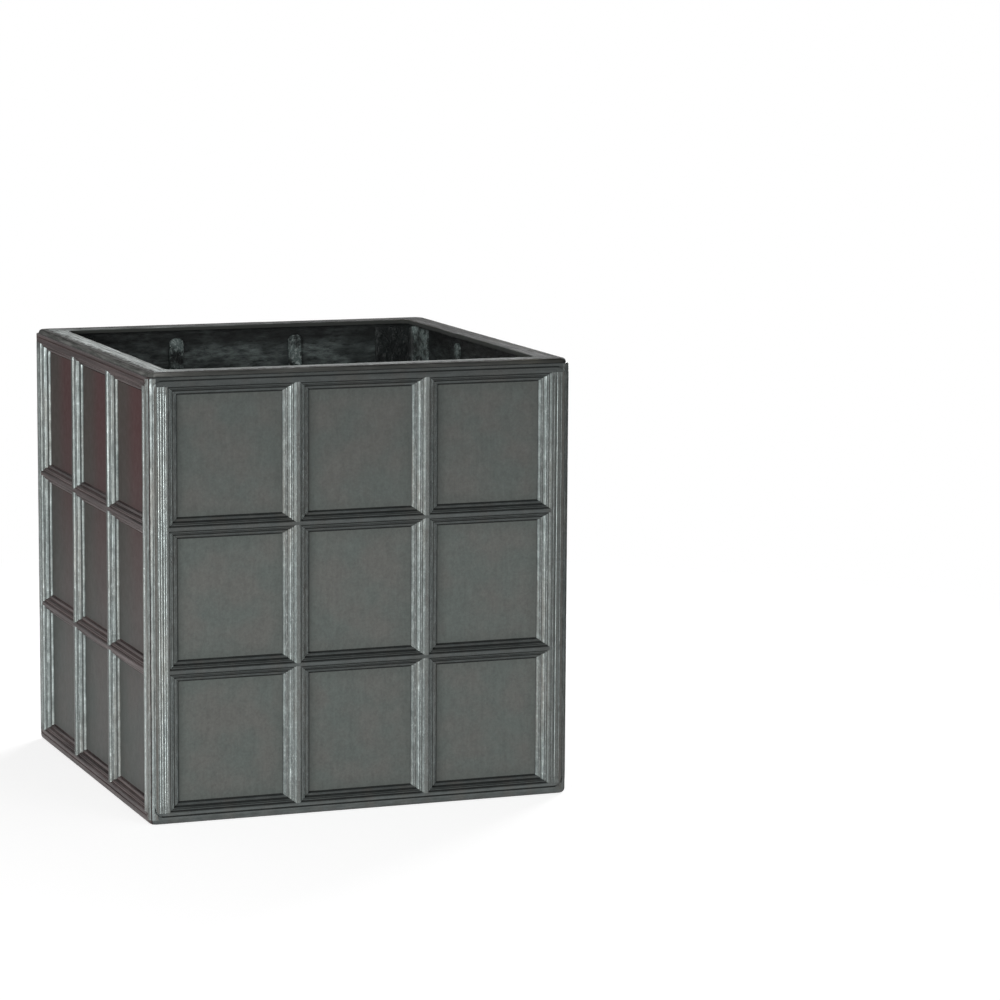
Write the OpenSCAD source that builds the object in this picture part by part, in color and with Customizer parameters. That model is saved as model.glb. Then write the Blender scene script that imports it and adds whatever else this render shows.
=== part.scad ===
// Square planter: four moulded wall panels with a grid of sunk panes,
// a flat rim frame, a floor panel with a drain hole, and the bonding
// strips that hold the panels together on the inside.
// X is to the right along the front, Y goes back, Z is up.
// The origin is on the ground, under the middle of the planter.

/* [Overall] */
// Width across the front
width = 400; // [300:1:600]
// Depth from front to rear
depth = 400; // [300:1:600]
// Height from the ground to the top of the rim
height = 405; // [250:1:700]
// Radius of the upright outer edges
corner_r = 8; // [3:0.5:10]
// Radius of the outer edges at the ground
foot_r = 4.5; // [2:0.5:9]

/* [Wall panels] */
// Thickness of a wall, from the ridges to the inner face
wall_t = 13; // [11:0.5:20]
// Depth of the panes below the ridges
relief = 8; // [3:0.25:9]
// Steps down from a ridge to a pane
step_count = 3; // [2:1:4]
// Panes side by side on a wall
pane_columns = 3; // [3:1:5]
// Panes above each other on a wall
pane_rows = 3; // [2:1:5]
// Flat border at the left and right of a wall, up to its first step
stile_band = 18.5; // [17:0.5:24]
// Flat border at the bottom of a wall, up to its first step
rail_band = 10.5; // [9.5:0.5:16]
// Flat border at the top of a wall, from its first step up to the rim
top_band = 8.5; // [7:0.5:12]
// Width of the ridge on an upright bar
bar_ridge_w = 3.5; // [2:0.25:8]
// Height of the ridge on a level bar
bar_ridge_h = 2.8; // [2:0.2:8]
// Width of each tread beside an upright bar
side_tread = 5.4; // [2:0.1:6]
// Height of each tread above and below a level bar
level_tread = 4.1; // [2:0.1:6]

/* [Reeding] */
// Width of the fine grooves in the borders
reed_groove_w = 0.9; // [0.5:0.1:1.4]
// Depth of the fine grooves in the borders
reed_groove_d = 0.8; // [0.4:0.1:1.5]
// Distance of the groove that runs round the face from the wall's ends
frame_reed_x = 5; // [4:0.1:6]
// Distance of the groove that runs round the face from the ground and the rim's top
frame_reed_z = 6.9; // [5:0.1:7.5]
// Corner radius of the groove that runs round the face
frame_reed_r = 8; // [3:0.5:12]
// Distance of the first upright groove from the wall's ends
first_reed_x = 9.8; // [8:0.1:10.5]
// Distance of the second upright groove from the wall's ends
second_reed_x = 14.3; // [12.5:0.1:15]

/* [Rim] */
// Width from the walls' outer faces to the rim's inner edge
rim_w = 26; // [20:0.5:45]
// Thickness of the rim
rim_t = 4; // [3:0.25:5]
// Distance that the rim's outer edge lies back from the walls' outer faces
rim_setback = 2; // [0:0.25:3]
// Radius of the rim's outer top edge
rim_edge_r = 3; // [1:0.25:3]
// Radius of the rim's inner corners
rim_corner_r = 8; // [3:0.5:20]

/* [Floor panel] */
// Height of the floor panel's underside above the ground
floor_lift = 10; // [4:0.5:30]
// Thickness of the floor panel
floor_t = 6; // [4:0.5:12]
// Diameter of the drain hole
drain_d = 25; // [12:1:50]

/* [Bonding strips] */
// Thickness of the bonding strips
tape_t = 2.5; // [1.5:0.25:4]
// Width of a corner strip on each wall
corner_tape_w = 42; // [20:1:60]
// Width of a floor strip on the wall and on the floor
floor_tape_w = 30; // [15:1:45]
// Gap between the top of the corner strips and the rim
corner_tape_gap = 4; // [2:0.5:20]
// Width of the backing strip behind each upright bar
rib_w = 14; // [8:0.5:24]
// Thickness of the backing strips
rib_t = 3; // [2:0.25:6]
// Gap between the top of the backing strips and the rim
rib_gap = 9; // [4:0.5:30]

/* [Hidden] */
$fn = 96;

// room that a cutting shape takes past the face that it cuts
past = 1;
wall_top = height - rim_t;
inner_w = width - 2 * wall_t;
inner_d = depth - 2 * wall_t;
floor_top = floor_lift + floor_t;
floor_tape_top = floor_top + floor_tape_w;
side_slope = (step_count - 1) * side_tread;
level_slope = (step_count - 1) * level_tread;
step_d = relief / step_count;
bar_w = bar_ridge_w + 2 * side_slope;
bar_h = bar_ridge_h + 2 * level_slope;
panes_top = wall_top - top_band - level_slope;
pane_h = (panes_top - rail_band - level_slope - (pane_rows - 1) * bar_h) / pane_rows;

lead = [0.36, 0.38, 0.37];
lead_dark = [0.30, 0.30, 0.29];
rim_grey = [0.55, 0.57, 0.57];
resin_black = [0.12, 0.13, 0.13];
strip_grey = [0.30, 0.34, 0.33];

// width of a pane on a wall of this length
function pane_w(length) =
    (length - 2 * (stile_band + side_slope) - (pane_columns - 1) * bar_w) / pane_columns;

// left end of a pane, measured along the wall from its middle
function pane_x(length, column) =
    -length / 2 + stile_band + side_slope + column * (pane_w(length) + bar_w);

// lower end of a pane above the ground
function pane_z(row) = rail_band + level_slope + row * (pane_h + bar_h);

// middle of the upright bar to the right of a column, from the wall's middle
function bar_x(length, column) = pane_x(length, column) + pane_w(length) + bar_w / 2;

// flat outline with its lower left corner at the origin and round corners,
// one radius for the lower two and one for the upper two
module round_outline(w, h, r_low, r_high) {
    translate([r_low, 0])
        square([w - 2 * r_low, r_low]);
    translate([0, r_low])
        square([w, h - r_low - r_high]);
    translate([r_high, h - r_high])
        square([w - 2 * r_high, r_high]);
    for (x = [0, 1]) {
        translate([x == 0 ? r_low : w - r_low, r_low])
            circle(r_low);
        translate([x == 0 ? r_high : w - r_high, h - r_high])
            circle(r_high);
    }
}

// outer form of the whole planter, with all its round edges
module outer_form(along, across) {
    intersection() {
        translate([-along / 2, -across / 2, 0])
            linear_extrude(height)
                round_outline(along, across, corner_r, corner_r);
        translate([-along / 2, across / 2 + past, 0])
            rotate([90, 0, 0])
                linear_extrude(across + 2 * past)
                    round_outline(along, height, foot_r, rim_edge_r);
        translate([-along / 2 - past, -across / 2, 0])
            rotate([90, 0, 90])
                linear_extrude(along + 2 * past)
                    round_outline(across, height, foot_r, rim_edge_r);
    }
}

// plan of a length that runs along the front and is mitred at both ends
module mitred_plan(along, across, thickness) {
    polygon([[-along / 2, -across / 2],
             [along / 2, -across / 2],
             [along / 2 - thickness, -across / 2 + thickness],
             [-along / 2 + thickness, -across / 2 + thickness]]);
}

// one sunk pane with its steps, cut from the outer face
module pane_cut(along, across, column, row) {
    for (s = [0 : step_count - 1]) {
        side = (step_count - 1 - s) * side_tread;
        level = (step_count - 1 - s) * level_tread;
        translate([pane_x(along, column) - side, -across / 2 - past, pane_z(row) - level])
            cube([pane_w(along) + 2 * side, past + (s + 1) * step_d, pane_h + 2 * level]);
    }
}

// upright fine groove at a distance from the wall's middle
module upright_reed(x, across) {
    translate([x - reed_groove_w / 2, -across / 2 - past, rail_band])
        cube([reed_groove_w, past + reed_groove_d, wall_top - top_band - rail_band]);
}

// fine groove that runs round the whole face, with round corners
module frame_reed(along, across) {
    w = along - 2 * frame_reed_x;
    h = height - 2 * frame_reed_z;
    r = frame_reed_r;
    g = reed_groove_w;
    translate([-w / 2, -across / 2 + reed_groove_d, frame_reed_z])
        rotate([90, 0, 0])
            linear_extrude(reed_groove_d + past)
                difference() {
                    round_outline(w, h, r, r);
                    translate([g, g])
                        round_outline(w - 2 * g, h - 2 * g, r - g, r - g);
                }
}

// one wall panel, drawn as the front one
module wall_panel(along, across) {
    difference() {
        intersection() {
            outer_form(along, across);
            linear_extrude(wall_top)
                mitred_plan(along, across, wall_t);
        }
        for (column = [0 : pane_columns - 1])
            for (row = [0 : pane_rows - 1])
                pane_cut(along, across, column, row);
        frame_reed(along, across);
        for (side = [-1, 1]) {
            upright_reed(side * (along / 2 - first_reed_x), across);
            upright_reed(side * (along / 2 - second_reed_x), across);
        }
    }
}

module front_wall() {
    color(lead)
        wall_panel(width, depth);
}

module right_wall() {
    color(lead)
        rotate([0, 0, 90])
            wall_panel(depth, width);
}

module rear_wall() {
    color(lead)
        rotate([0, 0, 180])
            wall_panel(width, depth);
}

module left_wall() {
    color(lead_dark)
        rotate([0, 0, 270])
            wall_panel(depth, width);
}

// flat frame bonded on the tops of the walls, reaching inwards past them
module rim_frame() {
    color(rim_grey)
        difference() {
            intersection() {
                outer_form(width - 2 * rim_setback, depth - 2 * rim_setback);
                translate([-width / 2, -depth / 2, wall_top])
                    cube([width, depth, rim_t]);
            }
            translate([-width / 2 + rim_w, -depth / 2 + rim_w, wall_top - past])
                linear_extrude(rim_t + 2 * past)
                    round_outline(width - 2 * rim_w, depth - 2 * rim_w, rim_corner_r, rim_corner_r);
        }
}

// bottom of the planting space, between the walls and clear of the ground
module floor_panel() {
    color(resin_black)
        difference() {
            translate([-inner_w / 2, -inner_d / 2, floor_lift])
                cube([inner_w, inner_d, floor_t]);
            translate([0, 0, floor_lift - past])
                cylinder(h = floor_t + 2 * past, d = drain_d);
        }
}

// bonding strip folded into the upright corner between two walls
module corner_strip(x_side, y_side) {
    strip_h = wall_top - corner_tape_gap - floor_tape_top;
    color(strip_grey)
        translate([x_side * inner_w / 2, y_side * inner_d / 2, floor_tape_top])
            mirror([x_side > 0 ? 1 : 0, 0, 0])
                mirror([0, y_side > 0 ? 1 : 0, 0]) {
                    cube([corner_tape_w, tape_t, strip_h]);
                    cube([tape_t, corner_tape_w, strip_h]);
                }
}

// bonding strip folded between a wall and the floor, drawn as the front one
module floor_strip(along, across) {
    color(strip_grey)
        intersection() {
            translate([-along / 2, -across / 2, floor_top])
                union() {
                    cube([along, tape_t, floor_tape_w]);
                    cube([along, floor_tape_w, tape_t]);
                }
            linear_extrude(floor_tape_top)
                mitred_plan(along, across, floor_tape_w);
        }
}

// backing strip on the inside of a wall, behind one of its upright bars
module rib(along, across, column) {
    color(strip_grey)
        translate([bar_x(along, column) - rib_w / 2, -across / 2 + wall_t, floor_tape_top])
            cube([rib_w, rib_t, wall_top - rib_gap - floor_tape_top]);
}

last_bar = pane_columns - 2;

front_wall();
right_wall();
rear_wall();
left_wall();
rim_frame();
floor_panel();
corner_strip(-1, -1);  // front_left_corner_strip
corner_strip(1, -1);  // front_right_corner_strip
corner_strip(1, 1);  // rear_right_corner_strip
corner_strip(-1, 1);  // rear_left_corner_strip
floor_strip(inner_w, inner_d);  // front_floor_strip
rotate([0, 0, 90]) floor_strip(inner_d, inner_w);  // right_floor_strip
rotate([0, 0, 180]) floor_strip(inner_w, inner_d);  // rear_floor_strip
rotate([0, 0, 270]) floor_strip(inner_d, inner_w);  // left_floor_strip
rib(width, depth, 0);  // front_rib_left
rib(width, depth, last_bar);  // front_rib_right
rotate([0, 0, 90]) rib(depth, width, 0);  // right_rib_front
rotate([0, 0, 90]) rib(depth, width, last_bar);  // right_rib_rear
rotate([0, 0, 180]) rib(width, depth, 0);  // rear_rib_right
rotate([0, 0, 180]) rib(width, depth, last_bar);  // rear_rib_left
rotate([0, 0, 270]) rib(depth, width, 0);  // left_rib_rear
rotate([0, 0, 270]) rib(depth, width, last_bar);  // left_rib_front
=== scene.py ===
import math

import bmesh
import bpy
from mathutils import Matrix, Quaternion, Vector


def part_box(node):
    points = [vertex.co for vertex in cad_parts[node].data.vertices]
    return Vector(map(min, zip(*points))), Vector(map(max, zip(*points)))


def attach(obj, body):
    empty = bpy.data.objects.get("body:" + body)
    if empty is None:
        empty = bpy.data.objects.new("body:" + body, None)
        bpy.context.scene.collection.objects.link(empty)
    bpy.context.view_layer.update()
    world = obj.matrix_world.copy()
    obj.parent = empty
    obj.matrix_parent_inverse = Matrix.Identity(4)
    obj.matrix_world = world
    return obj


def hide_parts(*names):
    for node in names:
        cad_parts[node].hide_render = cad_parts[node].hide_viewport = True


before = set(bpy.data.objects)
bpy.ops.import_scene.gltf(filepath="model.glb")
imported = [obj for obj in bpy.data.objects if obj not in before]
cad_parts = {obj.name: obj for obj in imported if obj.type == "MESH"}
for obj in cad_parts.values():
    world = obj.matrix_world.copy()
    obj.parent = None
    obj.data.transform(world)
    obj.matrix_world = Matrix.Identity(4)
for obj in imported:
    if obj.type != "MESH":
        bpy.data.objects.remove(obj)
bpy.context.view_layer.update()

mm = 0.001
touching = 0.01 * mm             # two places this near are the same
print("frame loaded,", len(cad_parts), "nodes")


# working helpers

def clearSelection():
    bpy.ops.object.select_all(action="DESELECT")


def only(piece):
    clearSelection()
    piece.select_set(True)
    bpy.context.view_layer.objects.active = piece


def startEdit(piece):
    only(piece)
    bpy.ops.object.mode_set(mode="EDIT")


def endEdit():
    bpy.ops.object.mode_set(mode="OBJECT")


def selectAll():
    bpy.ops.mesh.select_all(action="SELECT")


def bevel(offset, segments, affect="EDGES"):
    bpy.ops.mesh.bevel(offset=offset, offset_type="OFFSET", segments=segments, affect=affect)


def pick(kind, test):
    # selects the vertices, edges or faces that pass the test
    bpy.ops.mesh.select_mode(type=kind)
    bpy.ops.mesh.select_all(action="DESELECT")
    shape = bmesh.from_edit_mesh(bpy.context.object.data)
    parts = {"VERT": shape.verts, "EDGE": shape.edges, "FACE": shape.faces}[kind]
    for part in parts:
        if test(part):
            part.select_set(True)
    shape.select_flush_mode()
    bmesh.update_edit_mesh(bpy.context.object.data)


def sliceAcross(axis, places):
    # cuts the whole mesh at each place along one axis
    normal = [0, 0, 0]
    normal[axis] = 1
    for place in places:
        point = [0, 0, 0]
        point[axis] = place
        selectAll()
        bpy.ops.mesh.bisect(plane_co=point, plane_no=normal)


def cutAway(point, normal):
    # removes what lies in front of a plane and closes the cut
    selectAll()
    bpy.ops.mesh.bisect(plane_co=point, plane_no=normal, use_fill=True, clear_outer=True)


def mitre(low, high):
    # cuts both ends of a wall's piece at 45 degrees
    cutAway((low.x, low.y, 0), (-1, 1, 0))
    cutAway((high.x, low.y, 0), (1, 1, 0))


def steps(start, end, pitch):
    # evenly spaced places from start to end, both included
    count = max(1, round((end - start) / pitch))
    return [start + (end - start) * n / count for n in range(count + 1)]


def sliceEvenly(axis, start, end, pitch):
    sliceAcross(axis, steps(start, end, pitch)[1:-1])


def applyPlace(piece):
    only(piece)
    bpy.ops.object.transform_apply(location=True, rotation=True, scale=True)


def block(name, low, high):
    # a cube primitive at its size and place
    middle = [(a + b) / 2 for a, b in zip(low, high)]
    size = [b - a for a, b in zip(low, high)]
    clearSelection()
    bpy.ops.mesh.primitive_cube_add(size=1, location=middle, scale=size)
    piece = bpy.context.object
    piece.name = name
    piece.data.name = name
    applyPlace(piece)
    return piece


def useModifier(piece, kind, **settings):
    only(piece)
    modifier = piece.modifiers.new(kind.lower(), kind)
    for key, value in settings.items():
        setattr(modifier, key, value)
    bpy.ops.object.modifier_apply(modifier=modifier.name)


def carve(piece, tool):
    useModifier(piece, "BOOLEAN", operation="DIFFERENCE", object=tool, solver="EXACT")
    bpy.data.objects.remove(tool)


def displace(piece, texture, strength, middle, group, direction="NORMAL"):
    useModifier(piece, "DISPLACE", texture=texture, strength=strength, mid_level=middle,
                vertex_group=group, direction=direction)


def copyTurned(master, name, turn):
    only(master)
    bpy.ops.object.duplicate()
    piece = bpy.context.object
    piece.name = name
    piece.data.name = name
    piece.rotation_euler.z = turn
    applyPlace(piece)
    return piece


def smooth(piece, degrees):
    only(piece)
    bpy.ops.object.shade_smooth_by_angle(angle=math.radians(degrees))


def lumps(name, size, depth=2):
    # cloud texture for hand-made unevenness
    texture = bpy.data.textures.new(name, "CLOUDS")
    texture.noise_scale = size
    texture.noise_depth = depth
    texture.noise_basis = "IMPROVED_PERLIN"
    return texture


def weigh(piece, name, rule):
    # vertex group whose weight is worked out from each vertex's place
    group = piece.vertex_groups.new(name=name)
    for vertex in piece.data.vertices:
        group.add([vertex.index], min(1, max(0, rule(vertex.co))), "REPLACE")


def dress(piece, nodes, material):
    # gives a finished piece its material and its place in the frame
    piece.data.materials.clear()
    piece.data.materials.append(material)
    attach(piece, "root")
    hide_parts(*nodes)


# node helpers

def tone(red, green, blue):
    # colour as it is seen on a screen, 0 to 255, made linear
    linear = []
    for value in (red, green, blue):
        c = value / 255
        linear.append(c / 12.92 if c <= 0.04045 else ((c + 0.055) / 1.055) ** 2.4)
    return (*linear, 1)


def put(tree, kind, inputs=None, **settings):
    # adds a node, sets its options, then fills or links its inputs
    made = tree.nodes.new("ShaderNode" + kind)
    for key, value in settings.items():
        setattr(made, key, value)
    for key, value in (inputs or {}).items():
        if isinstance(value, bpy.types.NodeSocket):
            tree.links.new(value, made.inputs[key])
        else:
            made.inputs[key].default_value = value
    return made


def math2(tree, operation, a, b=0.0):
    return put(tree, "Math", {0: a, 1: b}, operation=operation).outputs[0]


def times(tree, *factors):
    product = factors[0]
    for factor in factors[1:]:
        product = math2(tree, "MULTIPLY", product, factor)
    return product


def axesOf(tree, place):
    return put(tree, "SeparateXYZ", {0: place}).outputs


def blend(tree, factor, a, b):
    return put(tree, "Mix", {0: factor, 6: a, 7: b}, data_type="RGBA").outputs[2]


def blendPlace(tree, factor, a, b):
    return put(tree, "Mix", {0: factor, 4: a, 5: b}, data_type="VECTOR").outputs[1]


def shaded(tree, colour, shade):
    return put(tree, "VectorMath", {0: colour, 1: shade}, operation="MULTIPLY").outputs[0]


def blendValue(tree, factor, a, b):
    return put(tree, "Mix", {0: factor, 2: a, 3: b}, data_type="FLOAT").outputs[0]


def span(tree, value, fromLow, fromHigh, toLow=0.0, toHigh=1.0, soft=False):
    kind = "SMOOTHSTEP" if soft else "LINEAR"
    inputs = {0: value, 1: fromLow, 2: fromHigh, 3: toLow, 4: toHigh}
    return put(tree, "MapRange", inputs, interpolation_type=kind, clamp=True).outputs[0]


def noise(tree, vector, scale, detail=3.0, rough=0.55):
    inputs = {"Vector": vector, "Scale": scale, "Detail": detail, "Roughness": rough}
    return put(tree, "TexNoise", inputs).outputs["Fac"]


def stretch(tree, vector, x, y, z):
    return put(tree, "VectorMath", {0: vector, 1: (x, y, z)}, operation="MULTIPLY").outputs[0]


def ownPlace(tree):
    return put(tree, "TexCoord").outputs["Object"]


def painted(tree, name):
    # value that was painted on the mesh
    return put(tree, "Attribute", attribute_name=name, attribute_type="GEOMETRY").outputs["Fac"]


def newGroup(name, inputs, outputs):
    tree = bpy.data.node_groups.new(name, "ShaderNodeTree")
    for label, kind, value in inputs:
        socket = tree.interface.new_socket(name=label, in_out="INPUT", socket_type="NodeSocket" + kind)
        if value is not None:
            socket.default_value = value
    for label, kind in outputs:
        tree.interface.new_socket(name=label, in_out="OUTPUT", socket_type="NodeSocket" + kind)
    return tree, tree.nodes.new("NodeGroupInput").outputs, tree.nodes.new("NodeGroupOutput").inputs


def useGroup(tree, group, inputs):
    return put(tree, "Group", inputs, node_tree=group).outputs


def newMaterial(name, specular):
    material = bpy.data.materials.new(name)
    material.use_nodes = True
    tree = material.node_tree
    shader = tree.nodes["Principled BSDF"]
    shader.inputs["Specular IOR Level"].default_value = specular
    return material, tree, shader


def bump(tree, shader, height, strength, depth):
    inputs = {"Height": height, "Strength": strength, "Distance": depth}
    tree.links.new(put(tree, "Bump", inputs).outputs[0], shader.inputs["Normal"])


# camera, at the photograph's place and angle

view = {
    "place": (-1.0988, -3.4005, 0.7914),
    "azimuth": -21.023,
    "elevation": 8.521,
    "roll": 0.396,
    "lens": 137.33,
}


def makeCamera():
    eye = bpy.data.cameras.new("camera")
    eye.lens = view["lens"]
    eye.sensor_width = 36
    eye.clip_start = 0.05
    eye.clip_end = 60
    camera = bpy.data.objects.new("camera", eye)
    bpy.context.scene.collection.objects.link(camera)
    camera.location = view["place"]
    camera.rotation_euler = (math.radians(90 - view["elevation"]), 0, math.radians(view["azimuth"]))
    backward = camera.rotation_euler.to_matrix() @ Vector((0, 0, 1))
    camera.rotation_euler.rotate(Quaternion(backward, math.radians(view["roll"])))
    bpy.context.scene.camera = camera


# studio

studio = {
    "floorRadius": 1.3,
    "floorGlow": 0.72,       # what the floor shows to the camera by itself
    "floorPaint": 0.6,       # share of the light on the floor, so that a shadow shows
    "ambient": 0.14,         # light from all round
    "frontAmbient": 0.5,     # more of it from the front, and least from above
    "roomGlow": 0.12,        # the room past the floor, as gloss sees it
    "leftBox": {"place": (-2.4, -1.7, 0.5), "size": (0.9, 1.1), "power": 84},
    "frontBox": {"place": (1.3, -2.9, 0.6), "size": (1.6, 1.2), "power": 16},
    "backBox": {"place": (2.1, 2.3, 1.0), "size": (1.6, 1.6), "power": 105},
}


def softBox(name, box):
    light = bpy.data.lights.new(name, "AREA")
    light.shape = "RECTANGLE"
    light.size, light.size_y = box["size"]
    light.energy = box["power"]
    lamp = bpy.data.objects.new(name, light)
    bpy.context.scene.collection.objects.link(lamp)
    lamp.location = box["place"]
    aim = Vector((0, 0, 0.2)) - lamp.location
    lamp.rotation_euler = aim.to_track_quat("-Z", "Y").to_euler()


def seenDirectly(tree):
    # 1 for rays that should meet the white background
    path = tree.nodes.new("ShaderNodeLightPath").outputs
    both = math2(tree, "MAXIMUM", path["Is Camera Ray"], path["Is Glossy Ray"])
    return math2(tree, "MAXIMUM", both, path["Is Transmission Ray"]), path


def makeFloor():
    clearSelection()
    bpy.ops.mesh.primitive_circle_add(vertices=128, radius=studio["floorRadius"], fill_type="NGON")
    floor = bpy.context.object
    floor.name = "studioFloor"
    material = bpy.data.materials.new("paleFloor")
    material.use_nodes = True
    tree = material.node_tree
    tree.nodes.clear()
    seen, _ = seenDirectly(tree)
    place = ownPlace(tree)
    away = put(tree, "VectorMath", {0: place}, operation="LENGTH").outputs["Value"]
    edge = span(tree, away, 0.55 * studio["floorRadius"], 0.95 * studio["floorRadius"], soft=True)
    glowAmount = blendValue(tree, edge, studio["floorGlow"], 1.0)
    paint = blendValue(tree, edge, studio["floorPaint"], 0.0)
    dull = put(tree, "BsdfDiffuse", {"Color": (0.8, 0.8, 0.8, 1)}).outputs[0]
    shadowed = put(tree, "BsdfDiffuse", {"Color": paint}).outputs[0]
    glow = put(tree, "Emission", {"Color": (1, 1, 1, 1), "Strength": glowAmount}).outputs[0]
    shown = put(tree, "AddShader", {0: shadowed, 1: glow}).outputs[0]
    mixed = put(tree, "MixShader", {0: seen, 1: dull, 2: shown}).outputs[0]
    put(tree, "OutputMaterial", {"Surface": mixed})
    floor.data.materials.append(material)


def makeWorld():
    world = bpy.data.worlds.new("studioWorld")
    bpy.context.scene.world = world
    world.use_nodes = True
    tree = world.node_tree
    tree.nodes.clear()

    def background(strength):
        return put(tree, "Background", {"Color": (1, 1, 1, 1), "Strength": strength}).outputs[0]

    seen, path = seenDirectly(tree)
    way = axesOf(tree, put(tree, "TexCoord").outputs["Generated"])
    frontShare = times(tree, span(tree, way["Y"], 0.0, -1.0), span(tree, way["Z"], 0.1, 0.8, 1.0, 0.1))
    ambient = span(tree, frontShare, 0, 1, studio["ambient"], studio["ambient"] + studio["frontAmbient"])
    # the white sweep stands behind the object, the rest of the room is dim
    behind = span(tree, way["Y"], 0.55, 0.9, soft=True)
    above = span(tree, way["Z"], -0.12, 0.02, soft=True)
    sweep = times(tree, behind, above)
    white = background(1.0)
    glossy = put(tree, "MixShader", {0: sweep, 1: background(studio["roomGlow"]), 2: white}).outputs[0]
    straight = math2(tree, "MAXIMUM", path["Is Camera Ray"], path["Is Transmission Ray"])
    shown = put(tree, "MixShader", {0: straight, 1: glossy, 2: white}).outputs[0]
    mixed = put(tree, "MixShader", {0: seen, 1: background(ambient), 2: shown}).outputs[0]
    put(tree, "OutputWorld", {"Surface": mixed})


makeCamera()
makeFloor()
makeWorld()
for boxName in ("leftBox", "frontBox", "backBox"):
    softBox(boxName, studio[boxName])
bpy.context.scene.view_settings.view_transform = "Standard"
print("camera and studio set")


# shared surface effects

def makeLongGrain():
    # streaks, patches and flecks drawn out along a moulding, upright or level
    tree, given, result = newGroup(
        "longGrain",
        [("Vector", "Vector", None), ("Upright", "Float", 0.0)],
        [("Grain", "Float"), ("Patch", "Float"), ("Fleck", "Float")],
    )

    def drawnOut(across, along, detail):
        # little change with depth, so that the surface's waves don't show as lines
        deep = 0.15 * across
        standing = stretch(tree, given["Vector"], across, deep, along)
        lying = stretch(tree, given["Vector"], along, deep, across)
        return noise(tree, blendPlace(tree, given["Upright"], lying, standing), 1.0, detail, 0.6)

    tree.links.new(span(tree, drawnOut(480.0, 7.0, 3.0), 0.3, 0.7), result["Grain"])
    tree.links.new(span(tree, drawnOut(240.0, 90.0, 4.0), 0.3, 0.7), result["Patch"])
    tree.links.new(span(tree, drawnOut(800.0, 420.0, 3.0), 0.5, 0.68), result["Fleck"])
    return tree


def makeEdgeWear():
    # rubbed crowns and dirt left in grooves, broken up by the grain
    tree, given, result = newGroup(
        "edgeWear",
        [("Crown", "Float", 0.0), ("Grain", "Float", 0.5), ("Break", "Float", 0.5)],
        [("Rubbed", "Float"), ("Dirt", "Float")],
    )
    broken = times(tree, math2(tree, "SUBTRACT", given["Grain"], 0.5), given["Break"])
    crown = math2(tree, "ADD", given["Crown"], broken)
    groove = math2(tree, "ADD", given["Crown"], times(tree, broken, 0.35))
    tree.links.new(span(tree, crown, 0.0, 0.55, soft=True), result["Rubbed"])
    tree.links.new(span(tree, groove, -0.08, -0.4, soft=True), result["Dirt"])
    return tree


def makeBlotches():
    # broad cloudy patches and a fine mottle, as on hand-rubbed paint
    tree, given, result = newGroup(
        "handBlotches",
        [("Vector", "Vector", None), ("Size", "Float", 22.0)],
        [("Blotch", "Float"), ("Mottle", "Float")],
    )
    broad = noise(tree, given["Vector"], given["Size"], 3.0, 0.5)
    fine = noise(tree, given["Vector"], times(tree, given["Size"], 5.5), 4.0, 0.6)
    tree.links.new(span(tree, broad, 0.34, 0.66, soft=True), result["Blotch"])
    tree.links.new(span(tree, fine, 0.3, 0.7), result["Mottle"])
    return tree


longGrain = makeLongGrain()
edgeWear = makeEdgeWear()
handBlotches = makeBlotches()


# moulded walls

wall = {
    "thick": 11 * mm,            # the moulded face, with the laminate behind it
    "columns": 3,
    "rows": 3,
    "stile": 18.5 * mm,
    "rail": 10.5 * mm,
    "topRail": 8.5 * mm,
    "ridgeWide": 3.5 * mm,
    "ridgeHigh": 2.8 * mm,
    "sideSlope": 10.8 * mm,
    "levelSlope": 8.2 * mm,
    "relief": 8 * mm,
    "cornerRadius": 8 * mm,
    "footRadius": 4.5 * mm,
    "topEdge": 1.2 * mm,
    "meshPitch": 6 * mm,
    "seamChamfer": 0.6 * mm,
    "seamTone": 0.2,             # how much of the uprights' brightness is left in the seam
    "seamDirt": -0.35,           # the seam and its surroundings count as a groove this deep
    "cornerTone": 0.88,          # and how much on the rounded corner beside it, as painted shade that damps its highlight
    "cornerStop": 3.5 * mm,      # the corner's painted shade ends this far under the wall's top
    "fullBend": math.radians(60),  # a bend this sharp is a full crown or groove
    "wave": 0.6 * mm,            # how far the face is out of true
    "dent": 0.2 * mm,
    # section of the moulding from the ridge to the pane: millimetres in, millimetres down
    "section": [
        (0.15, 0.10), (0.45, 0.25), (0.80, 0.40), (1.05, 0.80), (1.30, 1.30), (1.55, 1.75), (1.75, 1.98),
        (1.95, 2.00), (2.15, 1.92), (3.30, 2.32), (3.50, 2.62), (3.70, 2.68), (3.95, 2.56), (4.50, 2.78),
        (4.95, 3.05), (5.25, 3.40), (5.50, 4.00), (5.80, 4.75), (6.05, 5.25), (6.25, 5.50), (6.45, 5.50),
        (6.65, 5.35), (7.80, 5.70), (9.00, 6.15), (9.45, 6.40), (9.70, 6.80), (9.95, 7.40), (10.20, 7.90),
        (10.40, 8.10), (10.58, 8.18), (10.76, 8.12), (10.90, 8.00),
    ],
    # the groove that runs round the face
    "frameGroove": {
        "side": 5.4 * mm, "level": 7.3 * mm, "radius": 8 * mm, "thick": 0.5 * mm, "sink": 0.1 * mm,
    },
    # the upright grooves, in millimetres: distance from the wall's end, half width, depth;
    # the first lies on the rounded corner, where the mesh is only cut
    "leftReeds": [(7.3, 0.3, 0.0), (9.6, 0.5, 0.6), (11.9, 0.5, 0.5), (14.3, 0.6, 0.7), (16.4, 0.4, 0.4)],
    "rightReeds": [(9.6, 0.4, 0.3), (13.7, 0.7, 0.7), (16.4, 0.3, 0.25)],
}


def wallBox():
    # a wall's own box ends at its mitred, rounded corner; the block is cut from the full square
    low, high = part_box("front_wall")
    return Vector((low.y, low.y, 0)), Vector((-low.y, high.y, high.z))


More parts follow.
